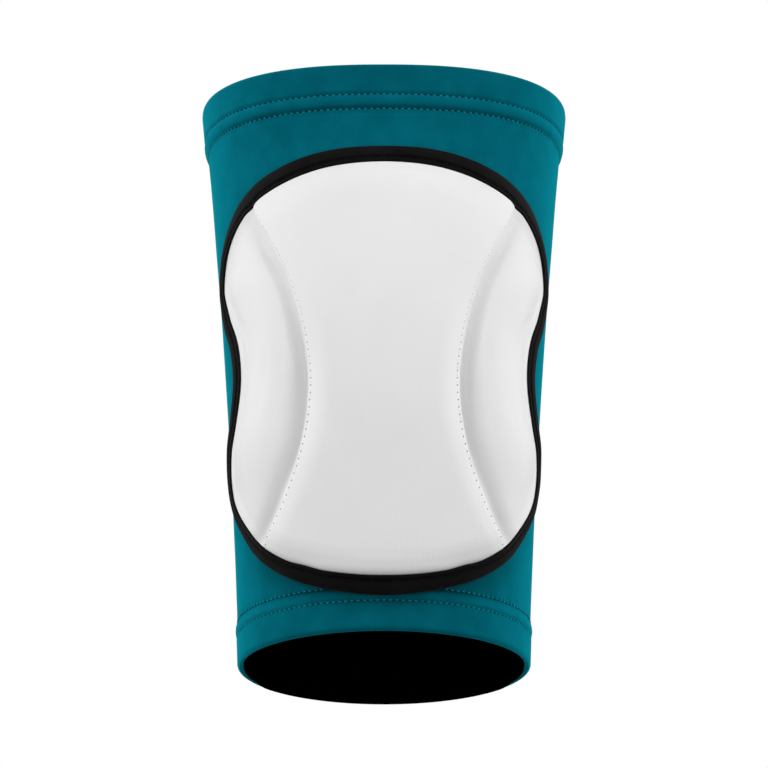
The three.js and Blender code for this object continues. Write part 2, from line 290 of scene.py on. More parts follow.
def sampledCurve(knots, closed):  # centripetal Catmull-Rom through the knots
    count = len(knots)
    spans = count if closed else count - 1

    def knot(number):
        if closed:
            return knots[number % count]
        if number < 0:
            return 2 * knots[0] - knots[1]
        if number >= count:
            return 2 * knots[-1] - knots[-2]
        return knots[number]

    points = []
    for step in range(front["samples"] + 1):
        along = step / front["samples"] * spans
        span = min(int(along), spans - 1)
        part = along - span
        p0, p1, p2, p3 = (knot(span + shift) for shift in (-1, 0, 1, 2))
        d0, d1, d2 = (math.sqrt((b - a).length) for a, b in ((p0, p1), (p1, p2), (p2, p3)))
        leave = ((p1 - p0) / d0 - (p2 - p0) / (d0 + d1) + (p2 - p1) / d1) * d1
        arrive = ((p2 - p1) / d1 - (p3 - p1) / (d1 + d2) + (p3 - p2) / d2) * d1
        square = 3 * (p2 - p1) - 2 * leave - arrive
        cube = 2 * (p1 - p2) + leave + arrive
        points.append(p1 + part * (leave + part * (square + part * cube)))
    tangents = []
    last = len(points) - 1
    for step in range(last + 1):
        before = points[step - 1] if step > 0 else (points[last - 1] if closed else points[0])
        after = points[step + 1] if step < last else (points[1] if closed else points[last])
        tangents.append((after - before).normalized())
    return points, tangents


halfOutline = [fromShares(s) for s in front["topEdge"] + front["sideEdge"] + front["bottomEdge"]]
outline = sampledCurve(halfOutline + [mirroredPlace(p) for p in halfOutline[-2:0:-1]], True)
seamKnots = front["sideEdge"][0], *front["seam"], front["sideEdge"][-1]
seam = sampledCurve([fromShares(s) for s in seamKnots], False)


def onCurve(curve, share):
    points, tangents = curve
    along = share * (len(points) - 1)
    step = max(0, min(int(along), len(points) - 2))
    part = along - step
    place = points[step].lerp(points[step + 1], part)
    return place, tangents[step].lerp(tangents[step + 1], part).normalized()


@lru_cache(maxsize=None)
def outlinePlace(share, inwards):
    point, tangent = onCurve(outline, share % 1)
    return point + inwards * Vector((tangent.y, -tangent.x))


@lru_cache(maxsize=None)
def seamPlace(share, outwards):
    point, tangent = onCurve(seam, share)
    return point + outwards * Vector((-tangent.y, tangent.x))


def nearnessTo(curve):
    tree = KDTree(len(curve[0]))
    for number, point in enumerate(curve[0]):
        tree.insert((point.x, point.y, 0), number)
    tree.balance()
    return tree


outlineTree = nearnessTo(outline)
seamTree = nearnessTo(seam)


def fromOutline(place):
    return outlineTree.find((place.x, place.y, 0))[2]


def fromSeam(place):
    return seamTree.find((abs(place.x), place.y, 0))[2]


# Thicknesses of the padded front

padding = {
    "layerGap": 0.3,
    "seamGap": 0.03,  # from the seam to the panel at each side of it
    "edgeGap": 0.1,  # from the binding to the panels
    "centerThickness": 12.0,
    "sideThickness": 10.3,
    "endThinning": 3.4,
    "upperShoulder": 12.0,
    "lowerShoulder": 9.0,
    "sideShoulder": 20.0,
    "seamDepth": 6.6,  # of the valley beside a seam
    "depthShareAtTop": 0.47,
    "valleyOut": 2.8,  # from the seam to the bottom of the valley
    "valleyOutBelow": 6.2,
    "valleyOutAbove": 5.0,
    "outBelowBand": (-14, 32),  # height at which the change begins and the run that it takes
    "outAboveBand": (38, 22),
    "valleyRise": 9.5,
    "valleyRiseAbove": 5.6,
    "riseBand": (-10, 30),
    "edgeDrop": 2.2,  # how far the centre panel's edge is rolled down at the seam
    "centerRoll": 3.2,
}
tape = {
    "width": 6.6,
    "outerHeight": 2.6,
    "waistHeight": 2.5,
    "endHeight": 5.3,
    "waistAboveKnee": 10.0,
    "lowReach": 24.0,
    "highReach": 58.0,
    "dome": 0.3,
    "padEdgeDrop": 0.5,
    "steps": 600,
    # how much wider, where from the top middle (0) to the bottom middle (1), and over what reach
    "upperCorner": (2.2, 0.18, 0.19),
    "lowerCorner": (-1.0, 0.92, 0.11),
    "upperNick": (0.6, 0.135, 0.018),  # where a seam ends
    "lowerNick": (0.5, 0.93, 0.02),
    "stitchFromInner": 1.9,  # the row of stitching, from the inner edge
    "stitches": 190,
    "stitch": (1.7, 0.5, 0.4),  # length, width and height
    "stitchSink": 0.4,
    "rowDip": 0.4,  # how deep the row of stitching pulls the tape in
    "wave": 0.1,
    "waveLength": 9.0,
    "roughness": 0.22,  # of the surface beside the row
    "roughReach": 2.2,
    "roughLength": 1.3,
    "rowTone": 0.55,  # how much darker the tape is along the row, and how unevenly
    "rowUneven": 0.5,
    "rowReach": 1.6,
    "rowLength": 1.7,
    "clothLength": 500.0,  # of the whole tape on its cloth map
}


def tapeWidth(share):
    down = 2 * min(share % 1, -share % 1)  # 0 at the top middle, 1 at the bottom middle
    width = tape["width"]
    for name in ("upperCorner", "lowerCorner", "upperNick", "lowerNick"):
        more, *spot = tape[name]
        width += more * bumpAt(down, spot)
    return width


def panelInset(share):
    return tapeWidth(share) + padding["edgeGap"]


def insidePanel(place):  # how far inside the edge of the panels a place lies
    number, away = outlineTree.find((place.x, place.y, 0))[1:]
    return away - panelInset(number / front["samples"])


def crossing(endShare):
    outside, inside = endShare, 0.5
    for _ in range(30):
        middle = (outside + inside) / 2
        if insidePanel(onCurve(seam, middle)[0]) < 0:
            outside = middle
        else:
            inside = middle
    point = onCurve(seam, inside)[0]
    return inside, outlineTree.find((point.x, point.y, 0))[1] / front["samples"]


upperCrossing = crossing(0)
lowerCrossing = crossing(1)


def tapeInnerHeight(place):
    fromWaist = abs(place.y - tape["waistAboveKnee"])
    share = gentle((fromWaist - tape["lowReach"]) / (tape["highReach"] - tape["lowReach"]))
    return mixed(tape["waistHeight"], tape["endHeight"], share)


def tapeHeight(place, inwards):
    share = clamped(inwards / tape["width"])
    straight = mixed(tape["outerHeight"], tapeInnerHeight(place), share)
    return straight + 4 * tape["dome"] * share * (1 - share)


def crown(place):
    reach = front["aboveKnee"] if place.y > 0 else front["belowKnee"]
    return padding["centerThickness"] - padding["endThinning"] * (place.y / reach) ** 2


def depthShare(place):  # the seams are shallower towards the top
    return mixed(1, padding["depthShareAtTop"], clamped(place.y / front["aboveKnee"]))


def valleyOut(place):
    if place.y < 0:
        share = below(place.y, padding["outBelowBand"])
        return mixed(padding["valleyOut"], padding["valleyOutBelow"], share)
    return mixed(padding["valleyOut"], padding["valleyOutAbove"], above(place.y, padding["outAboveBand"]))


def valleyRise(place):
    return mixed(padding["valleyRise"], padding["valleyRiseAbove"], above(place.y, padding["riseBand"]))


def edgeHeight(place):  # of the panels against the binding
    return tapeInnerHeight(place) - tape["padEdgeDrop"]


def centerTop(place):
    down = padding["edgeDrop"] * (1 - rolled(fromSeam(place) / padding["centerRoll"]))
    full = crown(place) - down * depthShare(place)
    shoulder = padding["upperShoulder"] if place.y > 0 else padding["lowerShoulder"]
    return mixed(edgeHeight(place), full, rolled(insidePanel(place) / shoulder))


def sideTop(place):
    out, valley = fromSeam(place), valleyOut(place)
    edge = crown(place) - padding["edgeDrop"] * depthShare(place)
    low = crown(place) - padding["seamDepth"] * depthShare(place)
    high = crown(place) - padding["centerThickness"] + padding["sideThickness"]
    if out < valley:
        full = mixed(edge, low, rounded(out / valley))
    else:
        full = mixed(low, high, rounded((out - valley) / valleyRise(place)))
    return mixed(edgeHeight(place), full, gentle(insidePanel(place) / padding["sideShoulder"]))


# Painted shade and painted highlights of the padded front, as shares of the cloth's colour. A reach is how
# far it fades out. A spot is where it is strongest and its reach. A band is the height at which it begins
# and the run that it takes.

paintedPanelShading = {
    "kneeBand": (45, 60),
    "edge": 0.05,  # painted shade against the binding
    "edgeReach": 2.5,
    # painted shade over both shoulders of the centre, deeper at the upper corners
    "upperShoulder": 0.05,
    "upperCorner": 0.1,
    "cornerRun": 40,
    "upperReach": 13,
    "upperBand": (40, 25),
    "lowerShoulder": 0.05,
    "lowerSpot": (3, 3),
    "lowerBand": (-50, 10),
    # painted shading of the centre panel: lighter at the top, darker towards the bottom
    "centerAtTop": 1.04,
    "centerAtBottom": 0.95,
    "centerFade": 1.2,
    "seam": 0.2,  # painted shade in the seam
    "seamAtTop": 0.4,  # share of it that is left above the knee
    "seamReach": 1.2,
    "rim": 0.13,  # painted highlight on the rim beside the stitches
    "rimSpot": (2.2, 6.5),
    "valley": 0.2,  # painted shade in the bottom of the valley
    "valleyAtTop": 0.25,
    "valleyReach": 0.8,  # share of the valley's rise
    "valleyReachIn": 4.0,
    # painted shade over the lower and upper ends of a lobe
    "lobeBelow": 0.06,
    "lobeBelowBand": (-38, 9),
    "lobeAbove": 0.04,
    "lobeAboveBand": (40, 15),
    "lobeRim": 0.03,  # painted highlight along the rim of a lobe
    "lobeRimReach": 7,
    "lobeRimBand": (5, 20),
}


def kneeShare(place):  # 1 from the knee down, 0 near the top
    return below(place.y, paintedPanelShading["kneeBand"])


def paintedEdgeShade(place):  # painted shade against the binding and over both shoulders of the centre
    inside = insidePanel(place)
    toCorner = gentle(abs(place.x) / paintedPanelShading["cornerRun"])
    upper = mixed(paintedPanelShading["upperShoulder"], paintedPanelShading["upperCorner"], toCorner)
    upper *= bump(inside, paintedPanelShading["upperReach"]) * above(place.y, paintedPanelShading["upperBand"])
    lower = paintedPanelShading["lowerShoulder"] * bumpAt(inside, paintedPanelShading["lowerSpot"])
    lower *= below(place.y, paintedPanelShading["lowerBand"])
    return paintedPanelShading["edge"] * bump(inside, paintedPanelShading["edgeReach"]) + upper + lower


def paintedCenterShading(place):  # painted shading of the centre: lighter at the top, darker towards the bottom, painted shade in the seam and a painted highlight on its rim
    out = fromSeam(place)
    down = (front["aboveKnee"] - place.y) / (front["aboveKnee"] + front["belowKnee"])
    fade = gentle(down * paintedPanelShading["centerFade"])
    paintedShadeAndTone = mixed(paintedPanelShading["centerAtTop"], paintedPanelShading["centerAtBottom"], fade)
    paintedSeamShade = paintedPanelShading["seam"] * mixed(paintedPanelShading["seamAtTop"], 1, kneeShare(place))
    paintedShadeAndTone -= paintedSeamShade * bump(out, paintedPanelShading["seamReach"])
    paintedRimHighlight = paintedPanelShading["rim"] * kneeShare(place) * bumpAt(out, paintedPanelShading["rimSpot"])
    return paintedShadeAndTone + paintedRimHighlight - paintedEdgeShade(place)


# painted shade in the valley and over the ends of a lobe, painted highlight along its rim
def paintedSideShading(place):
    away = fromSeam(place) - valleyOut(place)
    reach = paintedPanelShading["valleyReach"] * valleyRise(place) if away > 0 else paintedPanelShading["valleyReachIn"]
    dark = paintedPanelShading["valley"] * mixed(paintedPanelShading["valleyAtTop"], 1, kneeShare(place)) * bump(away, reach)
    dark += paintedPanelShading["lobeBelow"] * below(place.y, paintedPanelShading["lobeBelowBand"])
    dark += paintedPanelShading["lobeAbove"] * above(place.y, paintedPanelShading["lobeAboveBand"])
    light = paintedPanelShading["lobeRim"] * bump(insidePanel(place), paintedPanelShading["lobeRimReach"])
    return 1 - dark + light * above(place.y, paintedPanelShading["lobeRimBand"])


# Padded panels: a patch of the flat made a closed slab, swollen as cloth over foam

panels = {
    "centerColumns": 60,
    "centerColumnGather": 0.75,
    "centerRows": 110,
    "centerRowGather": 0.7,
    "sideColumns": 44,
    "sideColumnGather": 0.78,
    "sideRows": 110,
    "sideRowGather": 0.3,
    "pressure": 4.0,
    "mass": 0.05,
    "frames": 20,
    "mostSwell": 0.9,  # how far a point may move in the simulation
    "startThinner": 0.5,  # the slab starts this much thinner, to swell to its height
    "fill": 0.7,
    "sideRounds": 60,  # of smoothing, evens out the ridges where the shoulders of a lobe meet
    "roundedFromSeam": 6.0,  # smoothing keeps off the seam and the rim
    "roundedFromRim": 0.6,
    "freeReach": 4.0,  # from the rim to where the cloth is wholly free
    "weld": 0.02,
    "heldStiffness": 5,
}


def gathered(even, gather):
    return even - gather * math.sin(2 * math.pi * even) / (2 * math.pi)


def centerPlace(across, down):
    across = gathered(across, panels["centerColumnGather"])
    down = gathered(down, panels["centerRowGather"])

    def right(share):
        return seamPlace(mixed(upperCrossing[0], lowerCrossing[0], share), -padding["seamGap"])

    def left(share):
        return mirroredPlace(right(share))

    def top(share):
        around = mixed(-upperCrossing[1], upperCrossing[1], share)
        return outlinePlace(around, panelInset(around))

    def bottom(share):
        around = mixed(1 - lowerCrossing[1], lowerCrossing[1], share)
        return outlinePlace(around, panelInset(around))

    edges = top(across) * (1 - down) + bottom(across) * down
    edges += left(down) * (1 - across) + right(down) * across
    corners = (top(0) * (1 - across) + top(1) * across) * (1 - down)
    corners += (bottom(0) * (1 - across) + bottom(1) * across) * down
    return edges - corners


def sidePlace(across, down):
    across = gathered(across, panels["sideColumnGather"])
    down = gathered(down, panels["sideRowGather"])
    inner = seamPlace(mixed(upperCrossing[0], lowerCrossing[0], down), padding["seamGap"])
    around = mixed(upperCrossing[1], lowerCrossing[1], down)
    outer = outlinePlace(around, panelInset(around))
    return inner.lerp(outer, across)


def paddedPanel(name, place, top, paintedShadingAt, columns, rows, rounds=0, mirror=False):
    bm = bmesh.new()
    cloth = bm.loops.layers.uv.new("cloth")
    free = bm.verts.layers.float.new("free")
    paintedShadeAndTone = bm.verts.layers.float.new("paintedShadeAndTone")
    crease = bm.edges.layers.float.new("crease_edge")
    bmesh.ops.create_grid(bm, x_segments=columns, y_segments=rows, size=1)
    for vert in bm.verts:
        spot = place((vert.co.x + 1) / 2, (1 - vert.co.y) / 2)
        vert.co = (spot.x, spot.y, 0)
    bmesh.ops.remove_doubles(bm, verts=bm.verts, dist=panels["weld"])
    if mirror:
        bmesh.ops.scale(bm, verts=bm.verts, vec=(-1, 1, 1))
    lifted = bmesh.ops.extrude_face_region(bm, geom=bm.faces[:], use_keep_orig=True)["geom"]
    raised = {item for item in lifted if isinstance(item, bmesh.types.BMVert)}
    sides = {face for face in bm.faces if len(raised.intersection(face.verts)) == 2}
    for face in sides:
        for edge in face.edges:
            if raised.issuperset(edge.verts):
                edge[crease] = 1.0
                edge.smooth = False
    for face in bm.faces:
        for loop in face.loops:
            loop[cloth].uv = loop.vert.co.xy
    inner = []
    for vert in bm.verts:
        spot = vert.co.xy
        vert[paintedShadeAndTone] = paintedShadingAt(spot)
        if vert in raised:
            fromRim = insidePanel(spot)
            if fromSeam(spot) > panels["roundedFromSeam"] and fromRim > panels["roundedFromRim"]:
                inner.append(vert)
            vert[free] = gentle(min(fromSeam(spot), fromRim) / panels["freeReach"])
            vert.co.z = top(spot)
        else:
            vert.co.z = padding["layerGap"]
    for _ in range(rounds):  # heights alone, while the panel lies flat
        bmesh.ops.smooth_vert(bm, verts=inner, factor=0.5, use_axis_z=True)
    for vert in bm.verts:
        lift = vert.co.z - panels["startThinner"] * vert[free]
        vert.co = onFront(vert.co.xy, lift) * metresPerMm
    bmesh.ops.recalc_face_normals(bm, faces=bm.faces)
    panel = objectFrom(bm, name, smooth=True)
    swell(panel)
    subdivide(panel)
    return panel


def swell(panel):  # cloth under pressure, held at its rim and underside
    mesh = panel.data
    start = [vert.co.copy() for vert in mesh.vertices]
    free = [item.value for item in mesh.attributes["free"].data]
    held = panel.vertex_groups.new(name="held")
    for number, share in enumerate(free):
        held.add([number], 1 - share, "REPLACE")
    cloth = panel.modifiers.new("swell", "CLOTH")
    cloth.settings.mass = panels["mass"]
    cloth.settings.use_pressure = True
    cloth.settings.uniform_pressure_force = panels["pressure"]
    cloth.settings.effector_weights.gravity = 0
    cloth.settings.vertex_group_mass = "held"
    cloth.settings.pin_stiffness = panels["heldStiffness"]
    cloth.collision_settings.use_collision = False
    cloth.point_cache.frame_start = 1
    cloth.point_cache.frame_end = panels["frames"]
    for number in range(1, panels["frames"] + 1):
        bpy.context.scene.frame_set(number)
    moved = panel.evaluated_get(bpy.context.evaluated_depsgraph_get()).to_mesh()
    ends = [vert.co.copy() for vert in moved.vertices]
    panel.modifiers.remove(cloth)
    panel.vertex_groups.clear()
    bpy.context.scene.frame_set(1)
    farthest = 0
    for vert, before, after, share in zip(mesh.vertices, start, ends, free):
        shift = after - before
        farthest = max(farthest, shift.length)
        most = panels["mostSwell"] * metresPerMm
        if shift.length > most:
            shift *= most / shift.length
        vert.co = before + shift * share
    print(f"{panel.name} swelled, at most {farthest / metresPerMm:.2f} mm before the cap")
    mesh.attributes.remove(mesh.attributes["free"])


def subdivide(panel):
    rounder = panel.modifiers.new("rounder", "SUBSURF")
    rounder.levels = rounder.render_levels = 1
    finer = bpy.data.meshes.new_from_object(panel.evaluated_get(bpy.context.evaluated_depsgraph_get()))
    panel.modifiers.remove(rounder)
    panel.data = finer
    finer.name = panel.name


# Tubes round the leg: a profile of lifts and heights spun round, then set on the sleeve's surface

spinRadius = 100.0


def tubeRound(name, profile, steps, shape=None, paintedShadingAt=None):
    bm = bmesh.new()
    paintedShadeAndTone = bm.verts.layers.float.new("paintedShadeAndTone")
    ring = [bm.verts.new((spinRadius + lift, 0, height)) for lift, height in profile]
    for start, end in zip(ring, ring[1:] + ring[:1]):
        bm.edges.new((start, end))
    bmesh.ops.spin(bm, geom=bm.verts[:] + bm.edges[:], cent=(0, 0, 0), axis=(0, 0, 1),
                   dvec=(0, 0, 0), angle=2 * math.pi, steps=steps, use_merge=True)
    bmesh.ops.recalc_face_normals(bm, faces=bm.faces)
    cloth = bm.loops.layers.uv.new("cloth")
    for face in bm.faces:
        middle = face.calc_center_median()
        around = math.atan2(middle.x, -middle.y)
        for loop in face.loops:
            turn = math.atan2(loop.vert.co.x, -loop.vert.co.y)
            turn += 2 * math.pi * round((around - turn) / (2 * math.pi))
            loop[cloth].uv = (turn * leg["unrolledRadius"], loop.vert.co.z)
    for vert in bm.verts:
        turn = math.atan2(vert.co.x, -vert.co.y)
        lift = math.hypot(vert.co.x, vert.co.y) - spinRadius
        vert[paintedShadeAndTone] = paintedShadingAt(turn, vert.co.z, lift) if paintedShadingAt else 1
        if shape:
            lift += shape(turn, vert.co.z, lift)
        vert.co = onSleeve(turn, vert.co.z, lift) * metresPerMm
    return objectFrom(bm, name, smooth=True)


sleeveCloth = {
    "wall": 1.6,
    "steps": 300,
    "rowSpacing": 2.0,
    "lap": 5.0,
    "lapInset": 0.6,
    "surfaceLap": 1.2,  # how far the outside runs on under the hems
    "insetLap": 1.6,
    "ease": 0.12,
    "easeFade": 8.0,
    "paintedShadowBelow": 0.36,  # painted shadow close below the padded front
    "belowReach": 9,
    "belowBand": (-50, 15),
    "paintedLightAbove": 0.2,  # painted light above it
    "aboveReach": 18,
    "aboveBand": (70, 15),
    "flat": (0.345, 0.185),  # metres, before it is stretched over a leg
}


def sleeveProfile():
    top, bottom = jerseyTop, jerseyBottom
    rows = round((top - bottom) / sleeveCloth["rowSpacing"])
    wall, inset, lap = -sleeveCloth["wall"], -sleeveCloth["lapInset"], sleeveCloth["lap"]
    outer, under = sleeveCloth["surfaceLap"], sleeveCloth["insetLap"]
    outside = [(0, mixed(bottom - outer, top + outer, row / rows)) for row in range(rows + 1)]
    inside = [(wall, mixed(top + lap, bottom - lap, row / 8)) for row in range(9)]
    lowerLap = [(inset, bottom - lap), (inset, bottom - under)]
    return lowerLap + outside + [(inset, top + under), (inset, top + lap)] + inside


def sleeveEase(turn, height, lift):  # slow unevenness of stretched jersey, none where the hems begin
    if lift < -0.1:  # inside
        return 0
    spot = Vector((math.sin(turn) * 3, math.cos(turn) * 3, height / 26))
    fade = sleeveCloth["easeFade"]
    share = gentle((jerseyTop - height) / fade) * gentle((height - jerseyBottom) / fade)
    fromTop, fromBottom = leg["aboveKnee"] - height, height + leg["belowKnee"]
    return sleeveCloth["ease"] * share * noise.noise(spot) + seamFolds(turn, min(fromTop, fromBottom))


def paintedSleeveShading(turn, height, lift):  # painted shadow close below the padded front, painted light above it
    away = fromOutline(Vector((turn * halfWidth(height), height)))
    dark = sleeveCloth["paintedShadowBelow"] * bump(away, sleeveCloth["belowReach"])
    light = sleeveCloth["paintedLightAbove"] * bump(away, sleeveCloth["aboveReach"])
    light *= above(height, sleeveCloth["aboveBand"])
    return 1 - dark * below(height, sleeveCloth["belowBand"]) + light


hemFold = {
    "wall": 1.6,
    "lap": 5.0,
    "lapInset": 0.4,
    "lapGap": 0.3,
    "ridgeSpot": (1.8, 2.0),  # from the near row to the ridge, and its reach
    "nearDip": 0.4,
    "nearReach": 0.9,
    "dropBand": (-2.0, 1.8),  # where the cloth begins to drop to the far row, and over what run
    "farDrop": 0.1,  # lift of the cloth at the far row
    "tail": 1.6,  # how far the cloth runs on below the sleeve's surface
    "stitch": (0.95, 0.42, 0.4),  # length, width and height
    # dark beads of painted shade in the needle holes: length, width and height
    "holeShade": (1.0, 0.6, 0.34),
    "holeShift": 0.4,  # how far the painted hole shades lie nearer to the rim than the stitches
    "wander": 0.12,
    "pucker": 0.2,
    "puckerNear": 1.3,
    "puckerFar": 1.6,
    "puckerDrift": 0.1,
    "folds": 0.16,  # faint folds that run on from the far row
    "foldReach": 9.0,
    "dark": 0.4,  # painted shade where the cloth drops to a row
    "farSpot": (-0.7, 1.2),  # where from the row, and its reach
    "nearSpot": (-0.6, 0.9),
    "nearShare": 0.4,
    "light": 0.1,  # painted highlight on the ridge between the rows
    "lightSpot": (1.9, 1.8),
    "rim": 0.24,  # painted shade on the lower hem's rim, where its roll faces down
    "rimSpot": (0.4, 2.0),
}


def hemLift(inwards, proud):  # lift of a hem's outside at a distance in from its rim
    near, far = hems["rowNear"], hems["rowFar"]
    lift = proud + hems["ridge"] * bumpAt(inwards - near, hemFold["ridgeSpot"])
    lift = mixed(lift, hemFold["farDrop"], above(inwards - far, hemFold["dropBand"]))
    lift -= 2 * hemFold["farDrop"] * gentle((inwards - far) / (hems["topHeight"] - far + hemFold["tail"]))
    return lift - hemFold["nearDip"] * bump(inwards - near, hemFold["nearReach"])


# the outer profile from the rim's roll to the end, as lift and distance in from the rim
def hemOutside(proud):
    wall = hemFold["wall"]
    roll = (proud + wall) / 2
    points = []
    for step in range(9):
        angle = math.pi * step / 8
        points.append((proud - roll - roll * math.cos(angle), roll * (1 - math.sin(angle))))
    inwards = roll + 0.4
    while inwards < hems["topHeight"] + hemFold["tail"]:
        points.append((hemLift(inwards, proud), inwards))
        close = min(abs(inwards - middle) for middle in (1.6, hems["rowNear"], hems["rowFar"] - 0.7))
        inwards += 0.4 if close < 1.6 else 0.9
    return points


def seamFolds(turn, inwards):  # faint folds across the far row, fading into the sleeve
    reach = bump(inwards - hems["rowFar"], hemFold["foldReach"])
    spot = Vector((math.sin(turn) * 14, math.cos(turn) * 14, inwards / 30))
    return hemFold["folds"] * reach * noise.noise(spot)


# a folded end; upwards is +1 where the rim is below the hem
def hemTube(name, rim, upwards, height, proud, count):
    wall, inset = hemFold["wall"], hemFold["lapInset"]
    lapStart = height - hemFold["lap"] - hemFold["lapGap"]
    profile = hemOutside(proud)
    profile += [(-inset, profile[-1][1] + 0.2), (-inset, lapStart), (-wall, lapStart)]
    profile = [(lift, rim + upwards * inwards) for lift, inwards in profile]

    def pucker(turn, z, lift):
        if lift < -0.3:  # inside
            return 0
        inwards = abs(z - rim)
        near = bump(inwards - hems["rowNear"], hemFold["puckerNear"])
        far = bump(inwards - hems["rowFar"], hemFold["puckerFar"])
        wave = math.cos(turn * count)  # deepest between two stitches
        drift = noise.noise(Vector((math.sin(turn) * 20, math.cos(turn) * 20, z / 3)))
        depth = hemFold["pucker"] * (wave - 1) / 2 + hemFold["puckerDrift"] * drift
        return max(near, far) * depth + seamFolds(turn, inwards)

    # painted shade where the cloth drops to each row and on the lower rim, painted highlight on the ridge
    # between the rows
    def paintedShadeAndTone(turn, z, lift):
        inwards = abs(z - rim)
        dark = bumpAt(inwards - hems["rowFar"], hemFold["farSpot"])
        dark += hemFold["nearShare"] * bumpAt(inwards - hems["rowNear"], hemFold["nearSpot"])
        light = hemFold["light"] * bumpAt(inwards - hems["rowNear"], hemFold["lightSpot"])
        paintedRimShade = hemFold["rim"] * bumpAt(inwards, hemFold["rimSpot"]) if upwards > 0 else 0
        return paintedSleeveShading(turn, z, lift) + light - hemFold["dark"] * dark - paintedRimShade

    return tubeRound(name, profile, 4 * count, pucker, paintedShadeAndTone)


def stitchMatrix(place, along, outward, length, width, height):
    along = along.normalized()
    side = outward.cross(along).normalized()
    outward = along.cross(side)
    turn = Matrix((side, outward, along)).transposed()
    size = Matrix.Diagonal((width, height, length))
    return Matrix.Translation(place) @ (turn @ size).to_4x4()


def sewn(name, matrices):  # one small bead of thread for each stitch
    bm = bmesh.new()
    for matrix in matrices:
        bmesh.ops.create_uvsphere(bm, u_segments=6, v_segments=4, radius=0.5 * metresPerMm, matrix=matrix)
    return objectFrom(bm, name, smooth=True)


# stitches, or dark beads of painted shade in the needle holes between them, where they are shifted by half
# a stitch
def hemStitches(name, rim, upwards, proud, count, shift, size):
    matrices = []
    for inwards in (hems["rowNear"], hems["rowFar"]):
        for number in range(count):
            turn = 2 * math.pi * (number + shift) / count
            aside = hemFold["wander"] * noise.noise(Vector((number / 2, inwards, 0)))
            height = rim + upwards * (inwards + aside - shift * hemFold["holeShift"])
            lift = hemLift(inwards, proud) + seamFolds(turn, inwards) + (-0.12 if shift else 0.02)
            place = onSleeve(turn, height, lift) * metresPerMm
            ahead = onSleeve(turn + 0.02, height, lift) * metresPerMm
            outward = Vector((math.sin(turn), -math.cos(turn), 0))
            matrices.append(stitchMatrix(place, ahead - place, outward, *size))
    return sewn(name, matrices)


liningCloth = {
    "wall": 1.0,
    "gap": 0.3,
    "inset": 0.1,
    "steps": 240,
    # lift and height, round the rim's roll
    "lip": (
        (-1.75, 0.9), (-1.35, 0.1), (-0.9, -0.14), (-0.5, -0.21), (-0.12, -0.15),
        (-0.14, 0.1), (-0.5, 0.04), (-0.95, 0.12), (-1.4, 0.45), (-1.85, 1.0),
    ),
    "flat": (0.33, 0.211),  # metres, before it is stretched over a leg
}
liningLift = -sleeveCloth["wall"] - liningCloth["gap"]


def liningProfile():
    outer, inner = liningLift, liningLift - liningCloth["wall"]
    top = leg["aboveKnee"] - liningCloth["inset"]
    bottom = liningCloth["inset"] - leg["belowKnee"]
    rows = 40
    outside = [(outer, mixed(bottom + 1.4, top - 0.5, row / rows)) for row in range(rows + 1)]
    inside = [(inner, mixed(top - 0.4, bottom + 0.9, row / rows)) for row in range(rows + 1)]
    lip = [(lift, height - leg["belowKnee"]) for lift, height in liningCloth["lip"]]
    return outside + [((outer + inner) / 2, top)] + inside + lip


def liningLip(turn, height, lift):  # the lower edge laps round the hem's rim at the back alone
    if height > 1.0 - leg["belowKnee"] or lift < liningLift:
        return 0
    return (liningLift - lift) * gentle((math.cos(turn) + 0.6) / 0.2)


# Binding: tape folded over the edge of the padded front

# from the outer edge over the top to the inner edge, as distance in and lift
def tapeSection(place, width):
    outer, inner = tape["outerHeight"], tapeInnerHeight(place)
    radius = 1.0
    points = [(0.15, 0.05), (0, 0.5), (0, outer - radius)]
    for step in range(1, 5):
        angle = math.pi / 2 * step / 5
        points.append((radius * (1 - math.cos(angle)), outer - radius + radius * math.sin(angle)))
    row = width - tape["stitchFromInner"]
    across = [mixed(radius, row - 0.6, step / 5) for step in range(1, 5)]
    across += [row - 0.6, row - 0.25, row, row + 0.25, row + 0.6, width - 0.7]
    for inwards in across:
        dip = tape["rowDip"] * bump(inwards - row, 0.7)
        points.append((inwards, tapeHeight(place, inwards * tape["width"] / width) - dip))
    points += [(width - 0.2, inner - 0.1), (width, inner - 0.5), (width, inner - 1.6), (width, 0.3)]
    return points


def noiseAlong(place, length, third):
    return noise.noise(Vector((place.x / length, place.y / length, third)))


